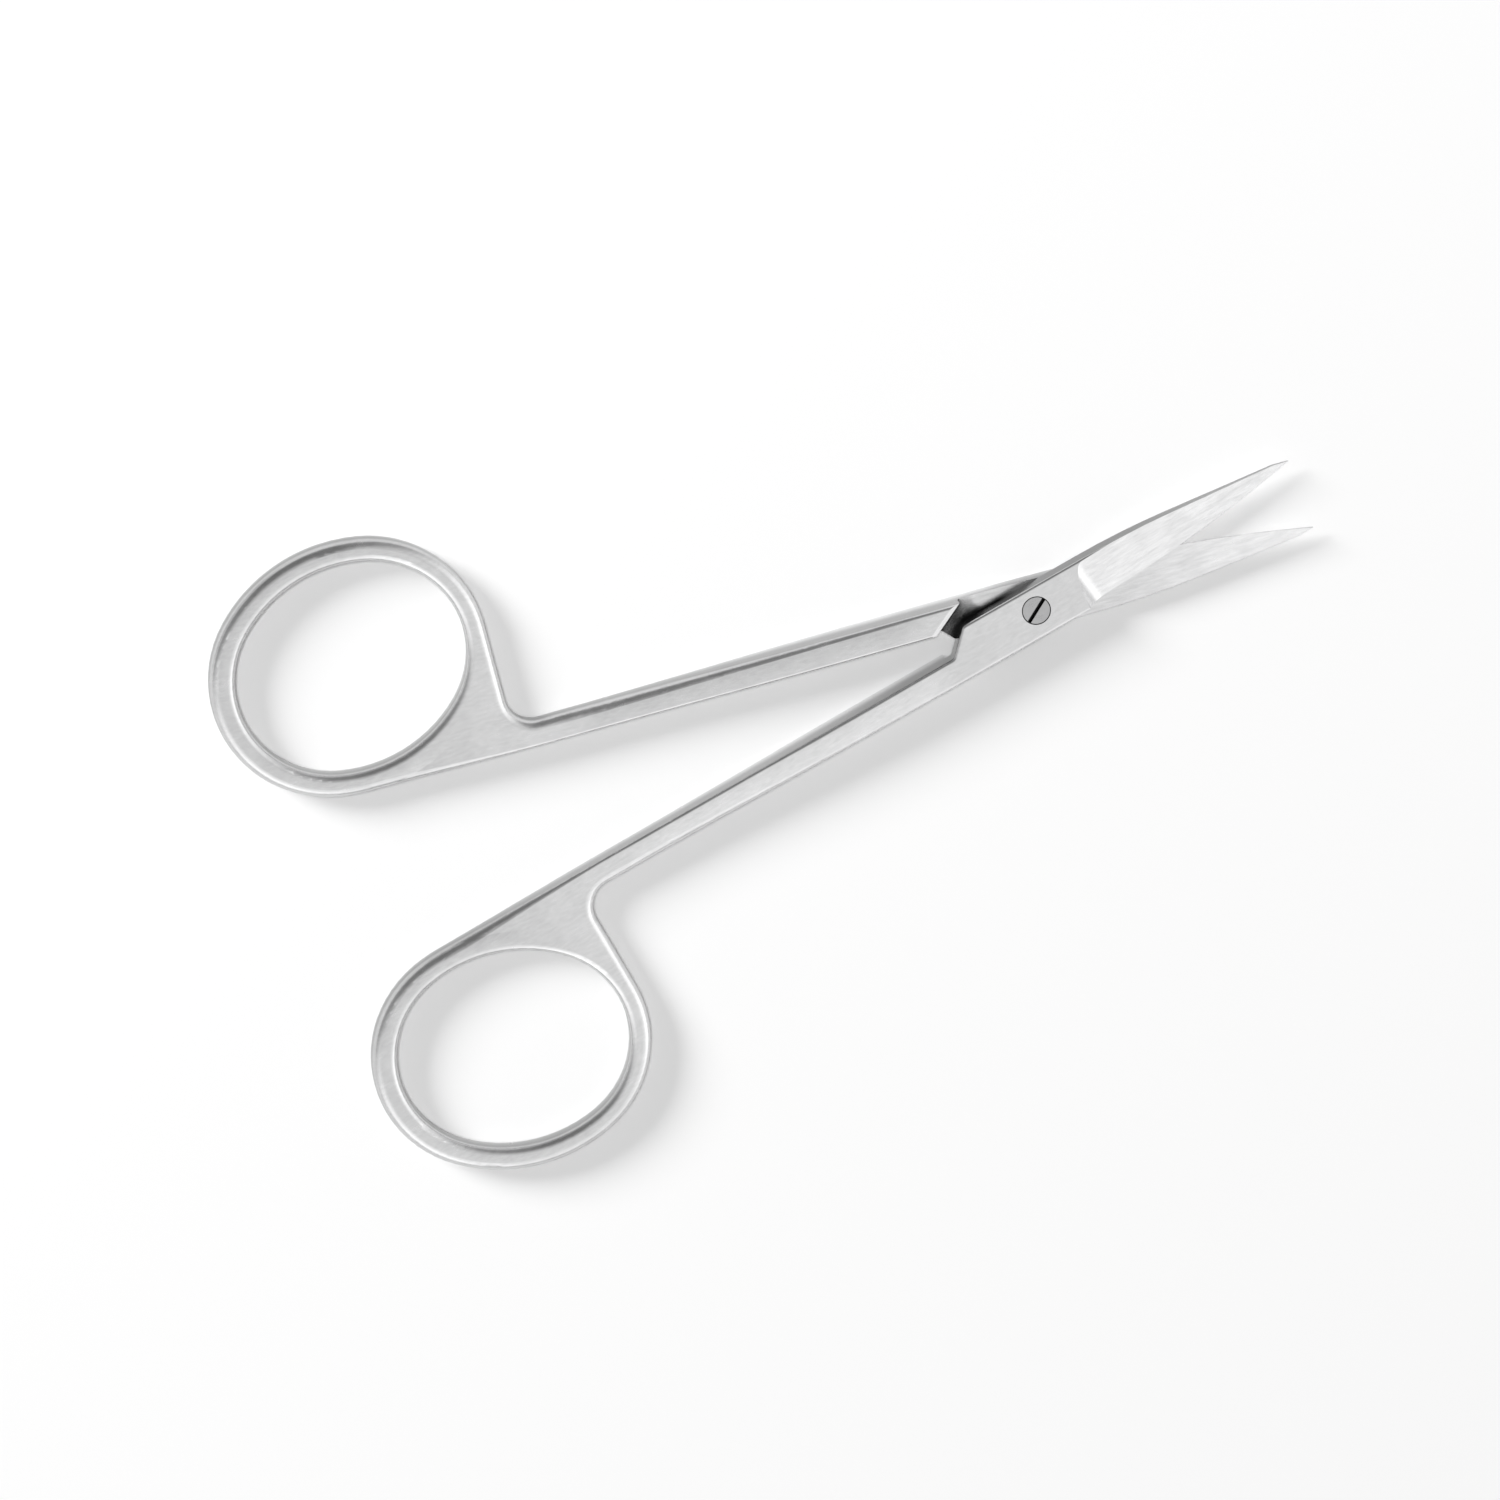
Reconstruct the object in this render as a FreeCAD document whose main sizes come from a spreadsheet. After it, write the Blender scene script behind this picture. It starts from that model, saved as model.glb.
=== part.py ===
import FreeCAD, Part
import math
import os

import Sketcher
from FreeCAD import Placement, Rotation, Vector

# Straight sharp iris scissors, closed length about 115 mm, all sizes in millimetres.
# Two forged halves cross at a half-lap joint and turn on one slotted screw.
# The part stands with the pivot axis on Z, the blades towards +X and the table at Z = 0,
# and it rests open, with each half turned away from the X axis by half of rest_opening_angle.
# Both halves are the same forging. It is drawn once with its ring at -Y and its lap above Z = 0:
# the upper half keeps that pose, and the lower half is the same shape turned over about X.

SIZES = {
    # along the scissors, counted from the pivot
    "tip_reach": 30.4,
    "ring_back": 70.1,
    "step_back": 9.9,
    "step_front": 7.45,
    "shoulder_outer_back": 8.3,
    "shoulder_inner_back": 11.47,
    "spine_start": 6.5,
    "edge_root": 6.5,
    "facet_start": 7.2,
    "fairing_back": 3.0,
    "neck_flat": 0.66,
    "taper_end": 14.0,
    # across the scissors, counted from the closed centreline
    "shank_gap": 0.15,
    "shank_width": 2.8,
    "joint_inner": 2.45,
    "edge_root_offset": 2.7,
    # thicknesses
    "lap_thickness": 1.85,
    "ring_thickness": 2.5,
    "ride_clearance": 0.02,
    # finger ring, a four-centred oval
    "hole_half_width": 10.65,
    "hole_elongation": 1.6,
    "hole_flatness": 0.55,
    "hole_shift": 0.25,
    "ring_wall": 2.5,
    # plan curves
    "neck_radius": 2.8,
    "step_root_radius": 0.6,
    "step_corner_radius": 0.5,
    "spine_bend_radius": 90.0,
    "edge_belly_radius": 135.0,
    # angles in degrees
    "ring_tilt": 18.0,
    "shank_splay": 0.14,
    "spine_slope": 6.6,
    "tip_clip_angle": 16.0,
    "facet_angle": 18.3,
    "rest_opening_angle": 14.7,
    "slot_angle": 37.0,
    # ground facet and shoulder of the lap
    "edge_land": 0.22,
    "facet_wheel_radius": 2.4,
    "shoulder_bevel": 0.5,
    "shoulder_bevel_drop": 0.25,
    "shoulder_foot_radius": 0.3,
    # rounded edges
    "round_ring": 1.0,
    "round_hole": 0.8,
    "round_joint": 0.4,
    "round_inner": 0.3,
    # pivot screw
    "screw_diameter": 2.0,
    "head_diameter": 3.0,
    "head_height": 0.7,
    "head_chamfer": 0.08,
    "slot_width": 0.4,
    "slot_depth": 0.45,
    "running_clearance": 0.03,
    "seat_clearance": 0.02,
    # how far cutting shapes reach past the metal
    "stock": 1.0,
}

doc = FreeCAD.newDocument("iris_scissors")
sheet = doc.addObject("Spreadsheet::Sheet", "sizes")
for row, (alias, number) in enumerate(SIZES.items(), start=1):
    sheet.set(f"A{row}", alias)
    sheet.set(f"B{row}", str(number))
    sheet.setAlias(f"B{row}", alias)
doc.recompute()


class Sizes:
    """Reads the sheet's numbers by alias."""

    def __getattr__(self, alias):
        return float(sheet.get(alias))


S = Sizes()
START, END, CENTRE = 1, 2, 3
ORIGIN = (-1, 1)
UP = Vector(0, 0, 1)


def at(x, y):
    return Vector(x, y, 0)


def towards(angle):
    """The unit direction at an angle in radians."""
    return Vector(math.cos(angle), math.sin(angle), 0)


def add_sketch(body, name, role):
    sketch = body.newObject("Sketcher::SketchObject", name)
    plane = [item for item in body.Origin.OriginFeatures if item.Role == role][0]
    sketch.AttachmentSupport = [(plane, "")]
    sketch.MapMode = "FlatFace"
    return sketch


class Chain:
    """Lines and arcs drawn end to end in one sketch; smooth joints are tangent."""

    def __init__(self, sketch):
        self.sketch = sketch
        self.ends = []

    def _join(self, index, tail, head, smooth):
        if self.ends:
            previous, _, free_end = self.ends[-1]
            kind = "Tangent" if smooth else "Coincident"
            self.sketch.addConstraint(Sketcher.Constraint(kind, previous, free_end, index, tail))
        self.ends.append((index, tail, head))
        return index

    def line(self, start, end, smooth=False):
        index = self.sketch.addGeometry(Part.LineSegment(start, end), False)
        return self._join(index, START, END, smooth)

    def arc(self, centre, radius, from_angle, to_angle, smooth=True):
        """An arc from one angle to another in radians, clockwise when the second is smaller."""
        low, high = sorted((from_angle, to_angle))
        index = self.sketch.addGeometry(Part.ArcOfCircle(Part.Circle(centre, UP, radius), low, high), False)
        tail, head = (START, END) if to_angle > from_angle else (END, START)
        return self._join(index, tail, head, smooth)

    def close(self, smooth=False):
        index, tail, _ = self.ends[0]
        last, _, head = self.ends[-1]
        kind = "Tangent" if smooth else "Coincident"
        self.sketch.addConstraint(Sketcher.Constraint(kind, last, head, index, tail))


def bind(sketch, kind, references, number, expression):
    """Adds a constraint of the given starting value and ties it to the sheet."""
    index = sketch.addConstraint(Sketcher.Constraint(kind, *references, number))
    sketch.setExpression(f"Constraints[{index}]", expression)


def left_of_origin(sketch, point, number, expression):
    bind(sketch, "DistanceX", (*point, *ORIGIN), number, expression)


def right_of_origin(sketch, point, number, expression):
    bind(sketch, "DistanceX", (*ORIGIN, *point), number, expression)


def above_origin(sketch, point, number, expression):
    bind(sketch, "DistanceY", (*ORIGIN, *point), number, expression)


def below_origin(sketch, point, number, expression):
    bind(sketch, "DistanceY", (*point, *ORIGIN), number, expression)


class Oval:
    """The finger hole, a four-centred oval whose arcs meet without a corner."""

    reach = S.hole_elongation + S.hole_flatness
    end_radius = S.hole_half_width - S.hole_flatness
    side_radius = reach ** 2 / (2 * S.hole_flatness) + S.hole_half_width - S.hole_flatness / 2
    half_length = S.hole_half_width + S.hole_elongation
    tilt = math.radians(S.ring_tilt)
    near_end = reach * math.cos(tilt) + end_radius


REACH = "(sizes.hole_elongation + sizes.hole_flatness)"
END_RADIUS = "(sizes.hole_half_width - sizes.hole_flatness)"
SIDE_RADIUS = f"({REACH}^2 / (2 * sizes.hole_flatness) + sizes.hole_half_width - sizes.hole_flatness / 2)"
REACH_X = f"{REACH} * cos(sizes.ring_tilt * 1deg)"
REACH_Y = f"{REACH} * sin(sizes.ring_tilt * 1deg)"
TAPER_START = (f"(sizes.ring_back - {REACH_X} - {END_RADIUS} - sizes.ring_wall"
               " - sizes.neck_radius - sizes.neck_flat)")
RING_END = "(sizes.ring_back + sizes.hole_half_width + sizes.hole_elongation + sizes.ring_wall + sizes.stock)"
taper_start = S.ring_back - Oval.near_end - S.ring_wall - S.neck_radius - S.neck_flat


def draw_plan(sketch):
    """The forging seen from above: shank, ring, step of the joint and an oversize blade."""
    tilt = Oval.tilt
    splay = math.radians(S.shank_splay)
    slope = math.radians(S.spine_slope)
    outer_y = -(S.shank_gap + S.shank_width)
    front_x = S.tip_reach + S.stock
    reach = Oval.reach
    side = Oval.side_radius
    lift = side - S.hole_half_width
    end_outer = Oval.end_radius + S.ring_wall
    side_outer = side + S.ring_wall
    meet = math.atan2(lift, reach)

    # the ring's centre lies where the straight inner edge just touches its top arc
    centre_x = -S.ring_back
    touch_y = -S.shank_gap + math.tan(splay) * (centre_x - lift * math.sin(tilt) + S.step_back)
    centre_y = touch_y - side_outer / math.cos(splay) + lift * math.cos(tilt)
    centre = at(centre_x, centre_y)
    to_near = towards(-tilt) * reach
    to_top = towards(math.pi / 2 - tilt) * lift
    wall_x = centre.x + to_near.x + end_outer

    # virtual corners of the step, where shank, step wall and joint edge would meet
    root = at(-S.step_back, -S.shank_gap)
    corner = at(-S.step_front, S.joint_inner)
    step_angle = math.atan2(corner.y - root.y, corner.x - root.x)
    root_cut = S.step_root_radius * math.tan((step_angle - splay) / 2)
    corner_cut = S.step_corner_radius * math.tan(step_angle / 2)

    outline = Chain(sketch)
    neck = at(wall_x + S.neck_radius, outer_y - S.neck_radius)
    outer_edge = outline.line(at(front_x, outer_y), at(neck.x, outer_y))
    neck_arc = outline.arc(neck, S.neck_radius, math.pi / 2, math.pi)
    neck_wall = outline.line(at(wall_x, neck.y), at(wall_x, (centre + to_near).y), smooth=True)
    near_end = outline.arc(centre + to_near, end_outer, 0, -(meet + tilt))
    under_side = outline.arc(centre + to_top, side_outer, -(meet + tilt), -(math.pi - meet + tilt))
    far_end = outline.arc(centre - to_near, end_outer, -(math.pi - meet + tilt), -(math.pi + meet + tilt))
    top_side = outline.arc(centre - to_top, side_outer, -(math.pi + meet + tilt), splay - 1.5 * math.pi)
    touch = centre - to_top + towards(splay + math.pi / 2) * side_outer
    inner_edge = outline.line(touch, root - towards(splay) * root_cut, smooth=True)
    root_centre = root - towards(splay) * root_cut + towards(splay + math.pi / 2) * S.step_root_radius
    root_arc = outline.arc(root_centre, S.step_root_radius, splay - math.pi / 2, step_angle - math.pi / 2)
    step_wall = outline.line(root + towards(step_angle) * root_cut,
                             corner - towards(step_angle) * corner_cut, smooth=True)
    corner_centre = at(corner.x + corner_cut, corner.y - S.step_corner_radius)
    corner_arc = outline.arc(corner_centre, S.step_corner_radius, step_angle + math.pi / 2, math.pi / 2)
    joint_edge = outline.line(at(corner.x + corner_cut, S.joint_inner), at(S.spine_start, S.joint_inner), smooth=True)
    bend_centre = at(S.spine_start, S.joint_inner - S.spine_bend_radius)
    bend = outline.arc(bend_centre, S.spine_bend_radius, math.pi / 2, math.pi / 2 - slope)
    bend_end = bend_centre + towards(math.pi / 2 - slope) * S.spine_bend_radius
    front_top = at(front_x, bend_end.y - math.tan(slope) * (front_x - bend_end.x))
    spine = outline.line(bend_end, front_top, smooth=True)
    front = outline.line(front_top, at(front_x, outer_y))
    outline.close()

    for flat in (outer_edge, joint_edge):
        sketch.addConstraint(Sketcher.Constraint("Horizontal", flat))
    for upright in (neck_wall, front):
        sketch.addConstraint(Sketcher.Constraint("Vertical", upright))
    below_origin(sketch, (outer_edge, START), -outer_y, "sizes.shank_gap + sizes.shank_width")
    right_of_origin(sketch, (front, START), front_x, "sizes.tip_reach + sizes.stock")
    above_origin(sketch, (joint_edge, START), S.joint_inner, "sizes.joint_inner")
    right_of_origin(sketch, (joint_edge, END), S.spine_start, "sizes.spine_start")
    bind(sketch, "Radius", (neck_arc,), S.neck_radius, "sizes.neck_radius")
    bind(sketch, "Radius", (near_end,), end_outer, END_RADIUS + " + sizes.ring_wall")
    bind(sketch, "Radius", (under_side,), side_outer, SIDE_RADIUS + " + sizes.ring_wall")
    bind(sketch, "Radius", (root_arc,), S.step_root_radius, "sizes.step_root_radius")
    bind(sketch, "Radius", (corner_arc,), S.step_corner_radius, "sizes.step_corner_radius")
    bind(sketch, "Radius", (bend,), S.spine_bend_radius, "sizes.spine_bend_radius")
    bind(sketch, "Angle", (inner_edge,), splay, "sizes.shank_splay * 1deg")
    bind(sketch, "Angle", (spine,), -slope, "-sizes.spine_slope * 1deg")
    sketch.addConstraint(Sketcher.Constraint("Equal", near_end, far_end))
    sketch.addConstraint(Sketcher.Constraint("Equal", under_side, top_side))

    left_of_origin(sketch, (near_end, CENTRE), S.ring_back - to_near.x, "sizes.ring_back - " + REACH_X)
    left_of_origin(sketch, (far_end, CENTRE), S.ring_back + to_near.x, "sizes.ring_back + " + REACH_X)
    bind(sketch, "DistanceY", (near_end, CENTRE, far_end, CENTRE), -2 * to_near.y, "2 * " + REACH_Y)

    for point, lines in ((root, (inner_edge, step_wall)), (corner, (step_wall, joint_edge))):
        mark = sketch.addGeometry(Part.Point(point), True)
        for line in lines:
            sketch.addConstraint(Sketcher.Constraint("PointOnObject", mark, START, line))
        if point is root:
            left_of_origin(sketch, (mark, START), S.step_back, "sizes.step_back")
            below_origin(sketch, (mark, START), S.shank_gap, "sizes.shank_gap")
        else:
            left_of_origin(sketch, (mark, START), S.step_front, "sizes.step_front")

    # the finger hole is the same oval without the wall, moved a little towards the neck
    shift = at(S.hole_shift, 0)
    hole = Chain(sketch)
    hole_near = hole.arc(centre + shift + to_near, Oval.end_radius, meet - tilt, -(meet + tilt))
    hole_under = hole.arc(centre + shift + to_top, side, -(meet + tilt), -(math.pi - meet + tilt))
    hole_far = hole.arc(centre + shift - to_near, Oval.end_radius,
                        -(math.pi - meet + tilt), -(math.pi + meet + tilt))
    hole_top = hole.arc(centre + shift - to_top, side, -(math.pi + meet + tilt), meet - tilt - 2 * math.pi)
    hole.close(smooth=True)
    bind(sketch, "Radius", (hole_near,), Oval.end_radius, END_RADIUS)
    bind(sketch, "Radius", (hole_under,), side, SIDE_RADIUS)
    sketch.addConstraint(Sketcher.Constraint("Equal", hole_near, hole_far))
    sketch.addConstraint(Sketcher.Constraint("Equal", hole_under, hole_top))
    for outer_arc, inner_arc in ((near_end, hole_near), (far_end, hole_far)):
        ends = (outer_arc, CENTRE, inner_arc, CENTRE)
        bind(sketch, "DistanceX", ends, S.hole_shift, "sizes.hole_shift")
        sketch.addConstraint(Sketcher.Constraint("Horizontal", *ends))


def draw_side(sketch, side):
    """What is cut off above (side 1) or below (side -1) the forging's thickness curve."""
    half_ring = S.ring_thickness / 2
    rise = S.lap_thickness - half_ring
    run = taper_start - S.taper_end
    blend = (run ** 2 + rise ** 2) / (4 * rise)
    turn = math.asin(run / (2 * blend))
    back_x = -(S.ring_back + Oval.half_length + S.ring_wall + S.stock)
    front_x = S.tip_reach + 2 * S.stock
    top = S.lap_thickness + 2 * S.stock
    quarter = side * math.pi / 2

    cut = Chain(sketch)
    ring_flat = cut.line(at(back_x, side * half_ring), at(-taper_start, side * half_ring))
    low_arc = cut.arc(at(-taper_start, side * (half_ring + blend)), blend, -quarter, -quarter + side * turn)
    high_arc = cut.arc(at(-S.taper_end, side * (S.lap_thickness - blend)), blend, quarter + side * turn, quarter)
    lap_flat = cut.line(at(-S.taper_end, side * S.lap_thickness), at(front_x, side * S.lap_thickness), smooth=True)
    front = cut.line(at(front_x, side * S.lap_thickness), at(front_x, side * top))
    cover = cut.line(at(front_x, side * top), at(back_x, side * top))
    back = cut.line(at(back_x, side * top), at(back_x, side * half_ring))
    cut.close()
    for flat in (ring_flat, lap_flat, cover):
        sketch.addConstraint(Sketcher.Constraint("Horizontal", flat))
    for upright in (front, back):
        sketch.addConstraint(Sketcher.Constraint("Vertical", upright))
    height = above_origin if side > 0 else below_origin
    height(sketch, (ring_flat, START), half_ring, "sizes.ring_thickness / 2")
    height(sketch, (lap_flat, START), S.lap_thickness, "sizes.lap_thickness")
    height(sketch, (cover, START), top, "sizes.lap_thickness + 2 * sizes.stock")
    left_of_origin(sketch, (ring_flat, START), -back_x, RING_END)
    left_of_origin(sketch, (ring_flat, END), taper_start, TAPER_START)
    left_of_origin(sketch, (lap_flat, START), S.taper_end, "sizes.taper_end")
    right_of_origin(sketch, (front, START), front_x, "sizes.tip_reach + 2 * sizes.stock")
    sketch.addConstraint(Sketcher.Constraint("Equal", low_arc, high_arc))


def cut_both_ways(body, sketch, name):
    """Cuts a sketch through everything on both sides of its plane."""
    pocket = body.newObject("PartDesign::Pocket", name)
    pocket.Profile = sketch
    pocket.SideType = "Symmetric"
    pocket.Type = "ThroughAll"
    return pocket


def forge(name):
    """The forged blank: the plan given its thickness curve, still with square edges."""
    body = doc.addObject("PartDesign::Body", name + "_forging")
    plan = add_sketch(body, name + "_plan", "XY_Plane")
    draw_plan(plan)
    blank = body.newObject("PartDesign::Pad", name + "_blank")
    blank.Profile = plan
    blank.SideType = "Symmetric"
    blank.setExpression("Length", "2 * (sizes.lap_thickness + sizes.stock)")
    side = add_sketch(body, name + "_thickness", "XZ_Plane")
    draw_side(side, 1)
    draw_side(side, -1)
    cut_both_ways(body, side, name + "_thinning")
    doc.recompute()
    return body


def round_at(point):
    """Radius of the rounded rim at a point of the outline."""
    ring_y = -(S.shank_gap + S.ring_wall + S.hole_half_width)
    from_centre = math.hypot(point.x + S.ring_back - S.hole_shift, point.y - ring_y)
    if from_centre < Oval.half_length + S.hole_shift:
        return S.round_hole
    if point.x < -(taper_start + S.neck_radius):
        return S.round_ring
    if point.y > -(S.shank_gap + S.shank_width / 2):
        return S.round_inner
    along = (point.x + taper_start) / (taper_start - S.taper_end)
    share = min(max(along, 0.0), 1.0)
    return S.round_ring + (S.round_joint - S.round_ring) * share


def rim_edges(shape):
    """Numbers of the edges where an upright wall meets the upper or lower face."""
    found = []
    front_x = S.tip_reach + S.stock
    for number, edge in enumerate(shape.Edges, start=1):
        points = [vertex.Point for vertex in edge.Vertexes]
        if min(abs(point.z) for point in points) < S.ring_thickness / 4 or points[0].z * points[-1].z < 0:
            continue
        if min(point.x for point in points) > front_x - S.stock / 2:
            continue
        uprights = 0
        for face in shape.ancestorsOfType(edge, Part.Face):
            u, v = face.Surface.parameter(edge.valueAt((edge.FirstParameter + edge.LastParameter) / 2))
            uprights += abs(face.normalAt(u, v).z) < 0.5
        if uprights == 1:
            found.append(number)
    return found


def chains(shape, numbers):
    """Yields each edge with its start and end, walking every rim in the way its first edge runs."""
    waiting = {}
    for number in numbers:
        edge = shape.Edges[number - 1]
        waiting[number] = (edge.valueAt(edge.FirstParameter), edge.valueAt(edge.LastParameter))
    while waiting:
        number = next(iter(waiting))
        start, end = waiting.pop(number)
        yield number, start, end
        for tip, forward in ((end, True), (start, False)):
            step = True
            while step:
                step = [key for key, pair in waiting.items() if min(tip.distanceToPoint(p) for p in pair) < 1e-4]
                if step:
                    pair = waiting.pop(step[0])
                    far = max(pair, key=tip.distanceToPoint)
                    yield (step[0], tip, far) if forward else (step[0], far, tip)
                    tip = far


def soften(blank, name):
    """Rounds the rim: full on ring and neck, fading along the shank, crisp at the joint."""
    rounded = doc.addObject("Part::Fillet", name + "_rounded")
    rounded.Base = blank
    rims = chains(blank.Shape, rim_edges(blank.Shape))
    rounded.Edges = [(number, round_at(start), round_at(end)) for number, start, end in rims]
    doc.recompute()
    return rounded


def cut_lap(body, name):
    """Takes away the layer that the other half fills, up to a bevelled shoulder with a round foot."""
    sketch = add_sketch(body, name + "_lap", "XZ_Plane")
    sketch.setExpression("AttachmentOffset",
                         "placement(vector(-sizes.shoulder_outer_back; 0; sizes.shank_gap + sizes.shank_width);"
                         " rotationy(atan((sizes.shoulder_inner_back - sizes.shoulder_outer_back)"
                         " / sizes.shank_width)))")
    depth = S.lap_thickness
    bevel = S.shoulder_bevel
    drop = S.shoulder_bevel_drop
    foot = S.shoulder_foot_radius
    far = S.tip_reach + S.shoulder_inner_back + S.shank_width
    bottom = depth + S.stock
    lap = Chain(sketch)
    outside_x = -S.stock * bevel / drop
    slant = lap.line(at(outside_x, -bottom), at(bevel, drop - depth))
    wall = lap.line(at(bevel, drop - depth), at(bevel, -foot))
    foot_arc = lap.arc(at(bevel + foot, -foot), foot, math.pi, math.pi / 2)
    ride = lap.line(at(bevel + foot, 0), at(far, 0), smooth=True)
    end = lap.line(at(far, 0), at(far, -bottom))
    base = lap.line(at(far, -bottom), at(outside_x, -bottom))
    lap.close()
    for upright in (wall, end):
        sketch.addConstraint(Sketcher.Constraint("Vertical", upright))
    sketch.addConstraint(Sketcher.Constraint("Horizontal", base))
    sketch.addConstraint(Sketcher.Constraint("PointOnObject", ride, START, -1))
    sketch.addConstraint(Sketcher.Constraint("PointOnObject", ride, END, -1))
    bind(sketch, "Radius", (foot_arc,), foot, "sizes.shoulder_foot_radius")
    right_of_origin(sketch, (wall, START), bevel, "sizes.shoulder_bevel")
    below_origin(sketch, (wall, START), depth - drop, "sizes.lap_thickness - sizes.shoulder_bevel_drop")
    left_of_origin(sketch, (slant, START), -outside_x,
                   "sizes.stock * sizes.shoulder_bevel / sizes.shoulder_bevel_drop")
    below_origin(sketch, (slant, START), bottom, "sizes.lap_thickness + sizes.stock")
    right_of_origin(sketch, (end, START), far, "sizes.tip_reach + sizes.shoulder_inner_back + sizes.shank_width")
    pocket = body.newObject("PartDesign::Pocket", name + "_half_lap")
    pocket.Profile = sketch
    pocket.SideType = "Symmetric"
    pocket.setExpression("Length", "3 * sizes.tip_reach")
    return pocket


def cut_facet(body, name):
    """Grinds the outer face of the blade down to a thin edge with a wheel that leaves a round run-out."""
    sketch = add_sketch(body, name + "_facet", "XZ_Plane")
    sketch.setExpression("AttachmentOffset",
                         "placement(vector(sizes.edge_root; sizes.edge_land; sizes.edge_root_offset);"
                         " rotationy(atan(sizes.edge_root_offset / (sizes.tip_reach - sizes.edge_root)))"
                         " * rotationx(sizes.facet_angle * 1deg))")
    wheel = S.facet_wheel_radius
    start = S.facet_start - S.edge_root
    far = S.tip_reach
    high = 2 * S.lap_thickness + wheel
    facet = Chain(sketch)
    flat = facet.line(at(far, 0), at(start, 0))
    run_out = facet.arc(at(start, wheel), wheel, -math.pi / 2, -math.pi)
    back = facet.line(at(start - wheel, wheel), at(start - wheel, high), smooth=True)
    cover = facet.line(at(start - wheel, high), at(far, high))
    end = facet.line(at(far, high), at(far, 0))
    facet.close()
    sketch.addConstraint(Sketcher.Constraint("Horizontal", cover))
    sketch.addConstraint(Sketcher.Constraint("Vertical", back))
    sketch.addConstraint(Sketcher.Constraint("Vertical", end))
    for place in (START, END):
        sketch.addConstraint(Sketcher.Constraint("PointOnObject", flat, place, -1))
    bind(sketch, "Radius", (run_out,), wheel, "sizes.facet_wheel_radius")
    right_of_origin(sketch, (flat, START), far, "sizes.tip_reach")
    right_of_origin(sketch, (flat, END), start, "sizes.facet_start - sizes.edge_root")
    above_origin(sketch, (cover, START), high, "2 * sizes.lap_thickness + sizes.facet_wheel_radius")
    pocket = body.newObject("PartDesign::Pocket", name + "_ground_facet")
    pocket.Profile = sketch
    pocket.SideType = "Symmetric"
    pocket.setExpression("Length", "2 * sizes.tip_reach")
    return pocket


def cut_edge(body, name):
    """Trims the blade in plan: fairing from the joint, bellied cutting edge and clipped tip."""
    sketch = add_sketch(body, name + "_edge", "XY_Plane")
    outer_y = -(S.shank_gap + S.shank_width)
    root = at(S.edge_root, -S.edge_root_offset)
    tip = at(S.tip_reach, 0)
    chord = tip - root
    middle = (root + tip) / 2
    belly = S.edge_belly_radius
    sagitta_leg = math.sqrt(belly ** 2 - (chord.Length / 2) ** 2)
    centre = middle + at(-chord.y, chord.x) / chord.Length * sagitta_leg
    root_angle = math.atan2(root.y - centre.y, root.x - centre.x)
    tip_angle = math.atan2(tip.y - centre.y, tip.x - centre.x)
    fair_start = at(-S.fairing_back, outer_y)
    fair_run = (root - fair_start).normalize()
    outside = fair_start - fair_run * S.stock / fair_run.y
    clip = math.radians(S.tip_clip_angle)
    clip_end = tip + towards(math.pi - clip) * (S.edge_root_offset + S.stock)
    front_x = S.tip_reach + 2 * S.stock
    edge = Chain(sketch)
    fairing = edge.line(outside, root)
    cutting = edge.arc(centre, belly, root_angle, tip_angle, smooth=False)
    clipped = edge.line(tip, clip_end)
    over = edge.line(clip_end, at(front_x, clip_end.y))
    front = edge.line(at(front_x, clip_end.y), at(front_x, outside.y))
    under = edge.line(at(front_x, outside.y), outside)
    edge.close()
    for flat in (over, under):
        sketch.addConstraint(Sketcher.Constraint("Horizontal", flat))
    sketch.addConstraint(Sketcher.Constraint("Vertical", front))
    right_of_origin(sketch, (fairing, END), S.edge_root, "sizes.edge_root")
    below_origin(sketch, (fairing, END), S.edge_root_offset, "sizes.edge_root_offset")
    right_of_origin(sketch, (clipped, START), S.tip_reach, "sizes.tip_reach")
    sketch.addConstraint(Sketcher.Constraint("PointOnObject", clipped, START, -1))
    bind(sketch, "Radius", (cutting,), belly, "sizes.edge_belly_radius")
    mark = sketch.addGeometry(Part.Point(fair_start), True)
    sketch.addConstraint(Sketcher.Constraint("PointOnObject", mark, START, fairing))
    left_of_origin(sketch, (mark, START), S.fairing_back, "sizes.fairing_back")
    below_origin(sketch, (mark, START), -outer_y, "sizes.shank_gap + sizes.shank_width")
    below_origin(sketch, (under, END), -outside.y, "sizes.shank_gap + sizes.shank_width + sizes.stock")
    bind(sketch, "Angle", (clipped,), math.pi - clip, "180deg - sizes.tip_clip_angle * 1deg")
    bind(sketch, "Distance", (clipped,), S.edge_root_offset + S.stock, "sizes.edge_root_offset + sizes.stock")
    right_of_origin(sketch, (front, START), front_x, "sizes.tip_reach + 2 * sizes.stock")
    return cut_both_ways(body, sketch, name + "_edge_grind")


def add_circle(body, name, diameter, expression):
    sketch = add_sketch(body, name, "XY_Plane")
    circle = sketch.addGeometry(Part.Circle(Vector(), UP, diameter / 2), False)
    sketch.addConstraint(Sketcher.Constraint("Coincident", circle, CENTRE, *ORIGIN))
    bind(sketch, "Diameter", (circle,), diameter, expression)
    return sketch


def finish_half(blank, name):
    """Machines the rounded forging into one half of the scissors."""
    body = doc.addObject("PartDesign::Body", name)
    body.Label = name
    body.BaseFeature = blank
    doc.recompute()
    steps = [cut_lap(body, name), cut_facet(body, name), cut_edge(body, name)]
    doc.recompute()
    return body, steps


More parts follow.
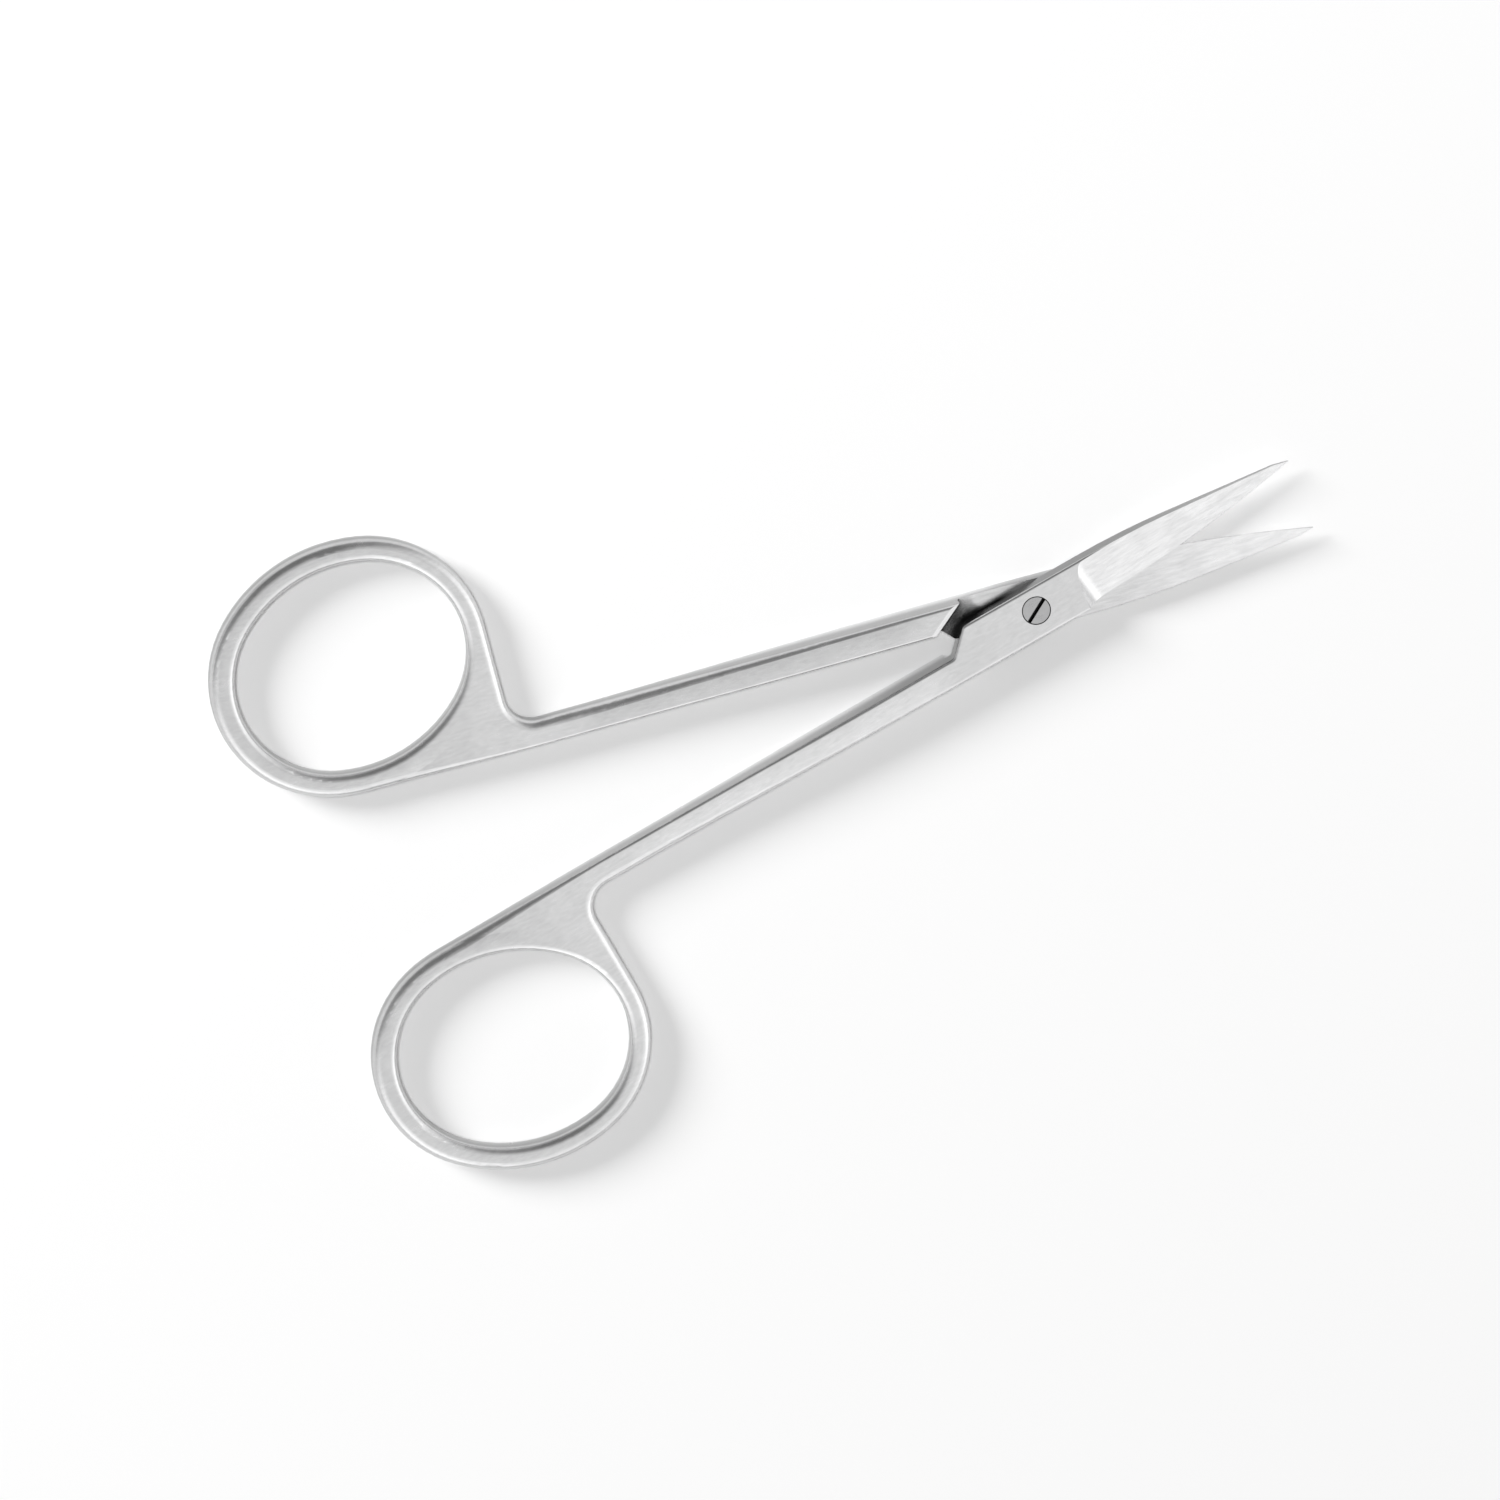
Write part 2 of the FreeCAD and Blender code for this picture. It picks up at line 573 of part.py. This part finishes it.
def bore_upper(body):
    """A free-running bore and the flat-bottomed recess of the screw head."""
    bore = add_circle(body, "upper_bore_circle", S.screw_diameter + 2 * S.running_clearance,
                      "sizes.screw_diameter + 2 * sizes.running_clearance")
    steps = [cut_both_ways(body, bore, "upper_bore")]
    recess = add_circle(body, "upper_recess_circle", S.head_diameter + 2 * S.running_clearance,
                        "sizes.head_diameter + 2 * sizes.running_clearance")
    recess.setExpression("AttachmentOffset.Base.z",
                         "sizes.lap_thickness - sizes.head_height - sizes.seat_clearance")
    pocket = body.newObject("PartDesign::Pocket", "upper_head_recess")
    pocket.Profile = recess
    pocket.Reversed = True
    pocket.setExpression("Length", "sizes.head_height + sizes.seat_clearance + sizes.stock")
    return steps + [pocket]


def bore_lower(body):
    """The tapped hole, at the thread's nominal diameter; the thread itself is not cut."""
    bore = add_circle(body, "lower_bore_circle", S.screw_diameter, "sizes.screw_diameter")
    return [cut_both_ways(body, bore, "lower_bore")]


def make_screw():
    """Slotted pivot screw: flush with the upper half above and with the lower half below."""
    body = doc.addObject("PartDesign::Body", "pivot_screw")
    body.Label = "pivot_screw"
    sketch = add_sketch(body, "screw_profile", "XZ_Plane")
    shank_r = S.screw_diameter / 2
    head_r = S.head_diameter / 2
    top = 2 * S.lap_thickness + S.ride_clearance
    seat = top - S.head_height
    chamfer = S.head_chamfer
    profile = Chain(sketch)
    foot = profile.line(at(0, 0), at(shank_r - chamfer, 0))
    foot_chamfer = profile.line(at(shank_r - chamfer, 0), at(shank_r, chamfer))
    shank = profile.line(at(shank_r, chamfer), at(shank_r, seat))
    seating = profile.line(at(shank_r, seat), at(head_r, seat))
    head = profile.line(at(head_r, seat), at(head_r, top - chamfer))
    rim = profile.line(at(head_r, top - chamfer), at(head_r - chamfer, top))
    crown = profile.line(at(head_r - chamfer, top), at(0, top))
    axis = profile.line(at(0, top), at(0, 0))
    profile.close()
    for flat in (foot, seating, crown):
        sketch.addConstraint(Sketcher.Constraint("Horizontal", flat))
    for upright in (shank, head, axis):
        sketch.addConstraint(Sketcher.Constraint("Vertical", upright))
    sketch.addConstraint(Sketcher.Constraint("Coincident", foot, START, *ORIGIN))
    right_of_origin(sketch, (shank, START), shank_r, "sizes.screw_diameter / 2")
    right_of_origin(sketch, (head, START), head_r, "sizes.head_diameter / 2")
    above_origin(sketch, (crown, START), top, "2 * sizes.lap_thickness + sizes.ride_clearance")
    bind(sketch, "DistanceY", (shank, END, crown, START), S.head_height, "sizes.head_height")
    for slant in (foot_chamfer, rim):
        low, high = (slant, START), (slant, END)
        bind(sketch, "DistanceY", (*low, *high), chamfer, "sizes.head_chamfer")
        ends = (*low, *high) if slant == foot_chamfer else (*high, *low)
        bind(sketch, "DistanceX", ends, chamfer, "sizes.head_chamfer")
    turned = body.newObject("PartDesign::Revolution", "screw_turned")
    turned.Profile = sketch
    turned.ReferenceAxis = (sketch, ["V_Axis"])
    turned.Angle = 360
    doc.recompute()

    slot = add_sketch(body, "screw_slot_outline", "XY_Plane")
    slot.setExpression("AttachmentOffset.Base.z",
                       "2 * sizes.lap_thickness + sizes.ride_clearance - sizes.slot_depth")
    slot.setExpression("AttachmentOffset.Rotation.Yaw", "sizes.slot_angle")
    half_length = head_r + S.stock
    half_width = S.slot_width / 2
    box = Chain(sketch=slot)
    sides = [box.line(at(-half_length, -half_width), at(half_length, -half_width)),
             box.line(at(half_length, -half_width), at(half_length, half_width)),
             box.line(at(half_length, half_width), at(-half_length, half_width)),
             box.line(at(-half_length, half_width), at(-half_length, -half_width))]
    box.close()
    for flat in (sides[0], sides[2]):
        slot.addConstraint(Sketcher.Constraint("Horizontal", flat))
    for upright in (sides[1], sides[3]):
        slot.addConstraint(Sketcher.Constraint("Vertical", upright))
    slot.addConstraint(Sketcher.Constraint("Symmetric", sides[0], START, sides[1], END, *ORIGIN))
    bind(slot, "DistanceX", (sides[0], START, sides[0], END), 2 * half_length,
         "sizes.head_diameter + 2 * sizes.stock")
    bind(slot, "DistanceY", (sides[1], START, sides[1], END), S.slot_width, "sizes.slot_width")
    pocket = body.newObject("PartDesign::Pocket", "screw_slot")
    pocket.Profile = slot
    pocket.Reversed = True
    pocket.setExpression("Length", "sizes.slot_depth + sizes.stock")
    doc.recompute()
    return body, [pocket]


def check_cuts(steps):
    """Stops if a cutting step took nothing away."""
    for step in steps:
        before = step.BaseFeature.Shape.Volume
        if step.Shape.Volume > before - 1e-3:
            raise RuntimeError(f"{step.Name} cuts nothing")


forging = forge("half")
rounded_forging = soften(forging, "half")
upper_half, cuts = finish_half(rounded_forging, "upper_half")
lower_half, lower_cuts = finish_half(rounded_forging, "lower_half")
cuts += lower_cuts + bore_upper(upper_half) + bore_lower(lower_half)
pivot_screw, screw_cuts = make_screw()
cuts += screw_cuts
doc.recompute()

half_opening = S.rest_opening_angle / 2
upper_half.Placement = Placement(Vector(0, 0, S.lap_thickness + S.ride_clearance), Rotation(UP, half_opening))
turned_over = Rotation(Vector(1, 0, 0), 180)
lower_half.Placement = Placement(Vector(0, 0, S.lap_thickness), Rotation(UP, -half_opening) * turned_over)
doc.recompute()

for item in doc.Objects:
    if "Invalid" in item.State or "Error" in item.State:
        raise RuntimeError(f"{item.Name} did not build: {item.State}")
check_cuts(cuts)

os.makedirs("parts", exist_ok=True)
for node in (upper_half, lower_half, pivot_screw):
    shape = node.Shape
    if shape.isNull() or not shape.isValid() or len(shape.Solids) != 1:
        raise RuntimeError(f"{node.Label} is not one sound solid")
    shape.exportStep(f"parts/{node.Label}.step")
    print(f"{node.Label}: {shape.Volume:.1f} cubic mm, {len(shape.Faces)} faces")
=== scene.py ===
import math

import bpy
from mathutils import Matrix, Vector

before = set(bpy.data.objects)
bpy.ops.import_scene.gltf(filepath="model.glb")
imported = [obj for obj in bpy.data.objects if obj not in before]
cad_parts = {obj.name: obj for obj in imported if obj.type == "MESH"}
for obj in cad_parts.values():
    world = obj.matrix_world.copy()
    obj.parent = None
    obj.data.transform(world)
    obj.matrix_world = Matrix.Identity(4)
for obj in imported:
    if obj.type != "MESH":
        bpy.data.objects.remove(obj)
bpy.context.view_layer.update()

# Straight iris scissors in satin steel on white, in the photograph's view and light.
# Lengths are in metres. Azimuths are degrees from +X, and the photograph's right is at -22.

# Camera, nearly overhead, on the side of the lower half's ring
CAMERA_PLACE = Vector((-0.05185, 0.23499, 0.74840))
CAMERA_ANGLES = (-15.856, -7.969, -21.450)
CAMERA_LENS = 181.27
CAMERA_SENSOR = 36.0

# Light: round soft lamps on a dome over the part, and plain ambient light
LAMP_DISTANCE = 2.5
LAMPS = {
    "key": {"azimuth": 126, "elevation": 24.5, "size": 0.95, "watts": 53.0},
    "overhead": {"azimuth": 98, "elevation": 72, "size": 0.35, "watts": 29.0},
}
AMBIENT = 0.22

# Room that the steel reflects: its levels from behind the camera to the far side,
# a glow at the left and the right, and one plain level near the horizon
FAR_SIDE = -80
ROOM_ACROSS = (
    (0.0, 0.22), (0.28, 0.28), (0.38, 0.5), (0.5, 0.76), (0.655, 1.0), (0.75, 1.17), (0.9, 1.3),
)
SIDE_SPAN = (0.15, 0.75)
SIDE_GLOW = 1.55
HORIZON_SPAN = (0.1, 0.36)
HORIZON_LEVEL = (0.62, 0.62, 0.62, 1)

FLOOR_SIZE = 3.0
FLOOR_COLOUR = (0.975, 0.975, 0.975, 1)
FLOOR_ROUGHNESS = 0.9
WHITE = (1, 1, 1, 1)

# Steel of each CAD node: colour, roughness, and the side of Y where a half has its outer edge
STEELS = {
    "upper_half": ((0.66, 0.66, 0.663, 1), 0.24, -1),
    "lower_half": ((0.665, 0.665, 0.668, 1), 0.24, 1),
    "pivot_screw": ((0.45, 0.45, 0.453, 1), 0.3, 0),
}

# Shape of a half in its own frame. The hole's third size is so large that height doesn't
# count, and the ring spans from 1 to 1.22 times the hole's size.
HALF_OPENING = math.radians(7.35)
FACET_ANGLE = math.radians(18.3)
LAP_HEIGHT = 0.00186
SHANK_WIDTH = 0.0028
HOLE_CENTRE = (-0.06985, 0.01364, 0)
HOLE_SIZE = (0.01225, 0.01065, 1000)
HOLE_TILT = math.radians(18)
RING_WALL = 0.0025
RING_SPAN = (1.0, 1.22)

# Radii of the polished crown, and where along a half it fades in and out
SHANK_CROWN = 0.02
SHANK_BACK = (-0.051, -0.045)
SHANK_FRONT = (-0.015, -0.010)
RING_CROWN = 0.0095
RING_FRONT = (-0.068, -0.061)

# Satin grain: noise cells per metre along, across and up, and what the grain does
STREAKS = (900, 3200, 900)
STREAK_DETAIL = 3.0
STREAK_TURN = math.radians(20)
CLOUD = (420, 420, 420)
CLOUD_DETAIL = 4.0
NOISE_ROUGHNESS = 0.62
GRAIN_SPAN = (0.7, 1.3)
GRAIN_TONES = (0.94, 1.06)
POLISH_SPAN = (0.6, 1.4)
POLISH_SPREAD = 0.05
GRAIN_RELIEF = 0.25
GRAIN_DEPTH = 0.00001

# Ground faces: the facet is found by its angle, and the riding face by its height
FACET_MATCH = (0.004, 0.012)
LAP_MATCH = (0.00003, 0.00005)
LEVEL_SPAN = (0.98, 0.995)
SCRATCHES = (330, 2100, 600)
SCRATCH_DETAIL = 4.0
SCRATCH_TURN = math.radians(-8)
SCRATCH_SPAN = (0.3, 0.7)
SCRATCH_TONES = (-0.09, 0.09)
# Painted sheen on the riding face, brighter towards the tip
LAP_PAINTED_SHEEN = 0.26
LAP_SHEEN_SPAN = (0.004, 0.026)

# Rings, a little darker than shanks
RING_TONE = 0.92
NECK_SPAN = (-0.066, -0.056)

# Painted shade on steep walls, with painted light bounced from the floor making them lighter at
# the foot, and more painted shade along the spine of the blade, less so at its tip
WALL_SPAN = (0.1, 0.6)
WALL_SHADE = 0.56
PAINTED_FOOT_LIGHT = 1.2
PAINTED_FOOT_SPAN = (0.0002, 0.0022)
SPINE_SHADE = 0.6
SPINE_START = (-0.006, 0.0)
SPINE_AT_TIP = 1.4
SPINE_TIP = (0.01, 0.026)

# Painted shade in crevices: wide in the pit behind the joint, narrow at the joint, and none from
# the pivot on
CREVICE_SPAN = (0.64, 0.93)
CREVICE_SHADE = 0.03
CREVICE_SAMPLES = 8
PIT_REACH = 0.003
JOINT_REACH = 0.0006
PIT_END = (-0.0068, -0.005)
CREVICE_END = (-0.0035, -0.001)
UPWARD_SPAN = (0.5, 0.9)


def feed(tree, slot, value):
    """Links a socket to a node's input, or sets the input to a plain value."""
    if isinstance(value, bpy.types.NodeSocket):
        tree.links.new(value, slot)
    else:
        slot.default_value = value


def node(tree, kind, **values):
    """Adds a shader node: names in lower case are its properties, and the others its inputs."""
    made = tree.nodes.new(kind)
    for name, value in values.items():
        if name.islower():
            setattr(made, name, value)
        else:
            feed(tree, made.inputs[name], value)
    return made


def maths(tree, operation, *values):
    """A Math node over sockets or numbers."""
    made = node(tree, "ShaderNodeMath", operation=operation)
    for slot, value in zip(made.inputs, values):
        feed(tree, slot, value)
    return made.outputs[0]


def product(tree, first, *others):
    """Multiplies sockets or numbers."""
    for other in others:
        first = maths(tree, "MULTIPLY", first, other)
    return first


def mapped(tree, source, span, levels, blend="SMOOTHSTEP"):
    """Runs from the first level to the second while the source runs through its span."""
    made = node(tree, "ShaderNodeMapRange", interpolation_type=blend, Value=source)
    for name, value in zip(("From Min", "From Max", "To Min", "To Max"), (*span, *levels)):
        feed(tree, made.inputs[name], value)
    return made.outputs["Result"]


def noise(tree, vector, cells, detail, turn=0.0):
    """Noise of about 0 to 1 with a number of cells per metre on each axis, its grid turned."""
    place = node(tree, "ShaderNodeMapping", Vector=vector, Rotation=(0, 0, turn), Scale=cells)
    made = node(tree, "ShaderNodeTexNoise", Vector=place.outputs["Vector"], Scale=1.0,
                Detail=detail, Roughness=NOISE_ROUGHNESS)
    return made.outputs["Fac"]


def new_material(name):
    """A material with its node tree and its Principled shader."""
    material = bpy.data.materials.new(name)
    material.use_nodes = True
    tree = material.node_tree
    return material, tree, tree.nodes["Principled BSDF"]


def half_frame(tree, outward):
    """A position in a half's own frame, and its parts: along the half, outwards and up."""
    place = node(tree, "ShaderNodeTexCoord")
    turned = node(tree, "ShaderNodeMapping", Vector=place.outputs["Object"],
                  Rotation=(0, 0, HALF_OPENING), Scale=(1, outward, 1))
    axes = node(tree, "ShaderNodeSeparateXYZ", Vector=turned.outputs["Vector"])
    return turned.outputs["Vector"], axes.outputs["X"], axes.outputs["Y"], axes.outputs["Z"]


def round_fall(tree, distance, radius):
    """Height of a round surface at a distance from its top."""
    return product(tree, distance, distance, -0.5 / radius)


def crown(tree, vector, along, across):
    """Height of the polish: shanks fall towards the outer edge, and rings towards both edges."""
    from_inside = mapped(tree, across, (0.0, SHANK_WIDTH), (0.0, SHANK_WIDTH), "LINEAR")
    shank = product(tree, round_fall(tree, from_inside, SHANK_CROWN),
                    mapped(tree, along, SHANK_FRONT, (1.0, 0.0)),
                    mapped(tree, along, SHANK_BACK, (0.0, 1.0)))
    oval = node(tree, "ShaderNodeMapping", vector_type="TEXTURE", Vector=vector,
                Location=HOLE_CENTRE, Rotation=(0, 0, HOLE_TILT), Scale=HOLE_SIZE)
    size = node(tree, "ShaderNodeVectorMath", operation="LENGTH")
    feed(tree, size.inputs[0], oval.outputs["Vector"])
    from_middle = mapped(tree, size.outputs["Value"], RING_SPAN,
                         (-RING_WALL / 2, RING_WALL / 2), "LINEAR")
    ring = product(tree, round_fall(tree, from_middle, RING_CROWN),
                   mapped(tree, along, RING_FRONT, (1.0, 0.0)))
    return maths(tree, "ADD", shank, ring)


def ground_scratches_and_sheen(tree, vector, along, height, flatness):
    """Tone of the ground faces: scratches from grinding, and a painted sheen on the riding face
    towards the tip.
    """
    off_angle = maths(tree, "ABSOLUTE",
                      maths(tree, "SUBTRACT", flatness, math.cos(FACET_ANGLE)))
    facet = mapped(tree, off_angle, FACET_MATCH, (1.0, 0.0))
    off_height = maths(tree, "ABSOLUTE", maths(tree, "SUBTRACT", height, LAP_HEIGHT))
    lap = product(tree, mapped(tree, off_height, LAP_MATCH, (1.0, 0.0)),
                  mapped(tree, flatness, LEVEL_SPAN, (0.0, 1.0)))
    scratches = noise(tree, vector, SCRATCHES, SCRATCH_DETAIL, SCRATCH_TURN)
    scratched = product(tree, maths(tree, "ADD", facet, lap),
                        mapped(tree, scratches, SCRATCH_SPAN, SCRATCH_TONES, "LINEAR"))
    # Painted sheen: the riding face lighter towards the tip
    painted_sheen = product(tree, lap, mapped(tree, along, LAP_SHEEN_SPAN, (0.0, LAP_PAINTED_SHEEN)))
    return maths(tree, "ADD", scratched, painted_sheen)


def painted_wall_shade(tree, along, height, flatness, is_half):
    """Painted shade on steep walls, with painted light at their foot and more painted shade along
    a half's spine; it is 1 on flat faces.
    """
    # Painted light bounced from the floor at the foot of a wall, painted shade higher up
    foot = mapped(tree, height, PAINTED_FOOT_SPAN, (PAINTED_FOOT_LIGHT, WALL_SHADE))
    wall = mapped(tree, flatness, WALL_SPAN, (foot, 1.0))
    if not is_half:
        return wall
    # Painted shade along the spine of the blade, less towards its tip
    spine = product(tree, mapped(tree, along, SPINE_START, (1.0, SPINE_SHADE)),
                    mapped(tree, along, SPINE_TIP, (1.0, SPINE_AT_TIP)))
    return product(tree, wall, mapped(tree, flatness, WALL_SPAN, (spine, 1.0)))


def painted_crevice_shade(tree, along, facing_up, is_half):
    """Painted shade in crevices, which is 1 in the open; a half has it on faces that look up."""
    reach = PIT_REACH
    if is_half:
        reach = mapped(tree, along, PIT_END, (PIT_REACH, JOINT_REACH))
    # Painted shade from ambient occlusion
    occlusion = node(tree, "ShaderNodeAmbientOcclusion", samples=CREVICE_SAMPLES, Distance=reach)
    tone = mapped(tree, occlusion.outputs["AO"], CREVICE_SPAN, (CREVICE_SHADE, 1.0))
    if not is_half:
        return tone
    share = product(tree, mapped(tree, facing_up, UPWARD_SPAN, (0.0, 1.0)),
                    mapped(tree, along, CREVICE_END, (1.0, 0.0)))
    return maths(tree, "ADD", 1.0, product(tree, share, maths(tree, "SUBTRACT", tone, 1.0)))


def satin_steel(name, colour, roughness, outward):
    """Satin stainless steel, ground on the blades, with a painted sheen on the riding face, and
    painted shade on walls and in crevices.
    """
    material, tree, shader = new_material(name)
    is_half = outward != 0
    vector, along, across, height = half_frame(tree, outward or 1)
    surface = node(tree, "ShaderNodeNewGeometry")
    normal = node(tree, "ShaderNodeSeparateXYZ", Vector=surface.outputs["Normal"])
    facing_up = normal.outputs["Z"]
    flatness = maths(tree, "ABSOLUTE", facing_up)

    grain = maths(tree, "ADD", noise(tree, vector, STREAKS, STREAK_DETAIL, STREAK_TURN),
                  noise(tree, vector, CLOUD, CLOUD_DETAIL))
    tone = maths(tree, "ADD", mapped(tree, grain, GRAIN_SPAN, GRAIN_TONES, "LINEAR"),
                 ground_scratches_and_sheen(tree, vector, along, height, flatness))
    if is_half:
        tone = product(tree, tone, mapped(tree, along, NECK_SPAN, (RING_TONE, 1.0)))
    # Painted shade on walls and in crevices, and painted light at the foot of walls
    tone = product(tree, tone, painted_wall_shade(tree, along, height, flatness, is_half),
                   painted_crevice_shade(tree, along, facing_up, is_half))
    tint = node(tree, "ShaderNodeMix", data_type="RGBA", blend_type="MULTIPLY",
                Factor=1.0, A=colour, B=tone)

    bump = node(tree, "ShaderNodeBump", Strength=GRAIN_RELIEF, Distance=GRAIN_DEPTH, Height=grain)
    if is_half:
        form = node(tree, "ShaderNodeBump", Strength=1.0, Distance=1.0,
                    Height=crown(tree, vector, along, across))
        feed(tree, bump.inputs["Normal"], form.outputs["Normal"])

    polish = (roughness - POLISH_SPREAD, roughness + POLISH_SPREAD)
    feed(tree, shader.inputs["Metallic"], 1.0)
    feed(tree, shader.inputs["Base Color"], tint.outputs["Result"])
    feed(tree, shader.inputs["Roughness"], mapped(tree, grain, POLISH_SPAN, polish, "LINEAR"))
    feed(tree, shader.inputs["Normal"], bump.outputs["Normal"])
    return material


def lay_floor():
    """A matt white plane, for the part's shadow."""
    bpy.ops.mesh.primitive_plane_add(size=FLOOR_SIZE, location=(0, 0, 0))
    plane = bpy.context.object
    plane.name = "floor"
    material, _, shader = new_material("pale_floor")
    shader.inputs["Base Color"].default_value = FLOOR_COLOUR
    shader.inputs["Roughness"].default_value = FLOOR_ROUGHNESS
    shader.inputs["Specular IOR Level"].default_value = 0.0
    plane.data.materials.append(material)
    return plane


def direction(azimuth, elevation=0.0):
    """The unit vector towards an azimuth and an elevation in degrees."""
    turn, lift = math.radians(azimuth), math.radians(elevation)
    return Vector((math.cos(turn) * math.cos(lift), math.sin(turn) * math.cos(lift),
                   math.sin(lift)))


def pointing(tree, ray, azimuth):
    """How far a ray points towards an azimuth, from -1 to 1."""
    made = node(tree, "ShaderNodeVectorMath", operation="DOT_PRODUCT")
    feed(tree, made.inputs[0], ray)
    feed(tree, made.inputs[1], direction(azimuth))
    return made.outputs["Value"]


def shaped_room(tree, background):
    """Gives the background the levels of the room that the steel reflects."""
    ray = node(tree, "ShaderNodeTexCoord").outputs["Generated"]
    far = mapped(tree, pointing(tree, ray, FAR_SIDE), (-1.0, 1.0), (0.0, 1.0), "LINEAR")
    ramp = node(tree, "ShaderNodeValToRGB", Fac=far)
    stops = ramp.color_ramp.elements
    stops.remove(stops[1])
    for position, level in ROOM_ACROSS:
        stop = stops.new(position) if position else stops[0]
        stop.color = (level, level, level, 1)
    up = node(tree, "ShaderNodeSeparateXYZ", Vector=ray).outputs["Z"]
    levels = node(tree, "ShaderNodeMix", data_type="RGBA", A=HORIZON_LEVEL,
                  B=ramp.outputs["Color"], Factor=mapped(tree, up, HORIZON_SPAN, (0.0, 1.0)))
    sideways = maths(tree, "ABSOLUTE", pointing(tree, ray, FAR_SIDE + 90))
    feed(tree, background.inputs["Color"], levels.outputs["Result"])
    feed(tree, background.inputs["Strength"], mapped(tree, sideways, SIDE_SPAN, (1.0, SIDE_GLOW)))


def light_world():
    """The steel reflects the room, the floor gets ambient light, and the camera sees white."""
    world = bpy.data.worlds.new("room")
    bpy.context.scene.world = world
    world.use_nodes = True
    tree = world.node_tree
    room = tree.nodes["Background"]
    shaped_room(tree, room)
    plain = node(tree, "ShaderNodeBackground", Color=WHITE, Strength=AMBIENT)
    white = node(tree, "ShaderNodeBackground", Color=WHITE, Strength=1.0)
    ray = node(tree, "ShaderNodeLightPath")
    shown = plain
    for kind, seen in (("Is Glossy Ray", room), ("Is Camera Ray", white)):
        choice = node(tree, "ShaderNodeMixShader", Fac=ray.outputs[kind])
        feed(tree, choice.inputs[1], shown.outputs[0])
        feed(tree, choice.inputs[2], seen.outputs[0])
        shown = choice
    feed(tree, tree.nodes["World Output"].inputs["Surface"], shown.outputs[0])


def add_object(name, data):
    """Links a new object with the given lamp or camera to the scene."""
    made = bpy.data.objects.new(name, data)
    bpy.context.collection.objects.link(made)
    return made


def softbox(name, azimuth, elevation, size, watts):
    """A round soft lamp that looks at the part; the steel shows the room and not the lamp."""
    lamp = bpy.data.lights.new(name, "AREA")
    lamp.shape = "DISK"
    lamp.size = size
    lamp.energy = watts
    towards_lamp = direction(azimuth, elevation)
    made = add_object(name, lamp)
    made.location = towards_lamp * LAMP_DISTANCE
    made.rotation_euler = towards_lamp.to_track_quat("Z", "Y").to_euler()
    made.visible_glossy = False


def set_camera():
    """The photograph's camera."""
    camera = bpy.data.cameras.new("camera")
    camera.lens = CAMERA_LENS
    camera.sensor_width = CAMERA_SENSOR
    made = add_object("camera", camera)
    made.location = CAMERA_PLACE
    made.rotation_euler = [math.radians(angle) for angle in CAMERA_ANGLES]
    bpy.context.scene.camera = made
    bpy.context.scene.view_settings.view_transform = "Standard"


for name, steel in STEELS.items():
    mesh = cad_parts[name].data
    mesh.materials.clear()
    mesh.materials.append(satin_steel(name + "_steel", *steel))

floor = lay_floor()
light_world()
for name, lamp in LAMPS.items():
    softbox(name, **lamp)
set_camera()
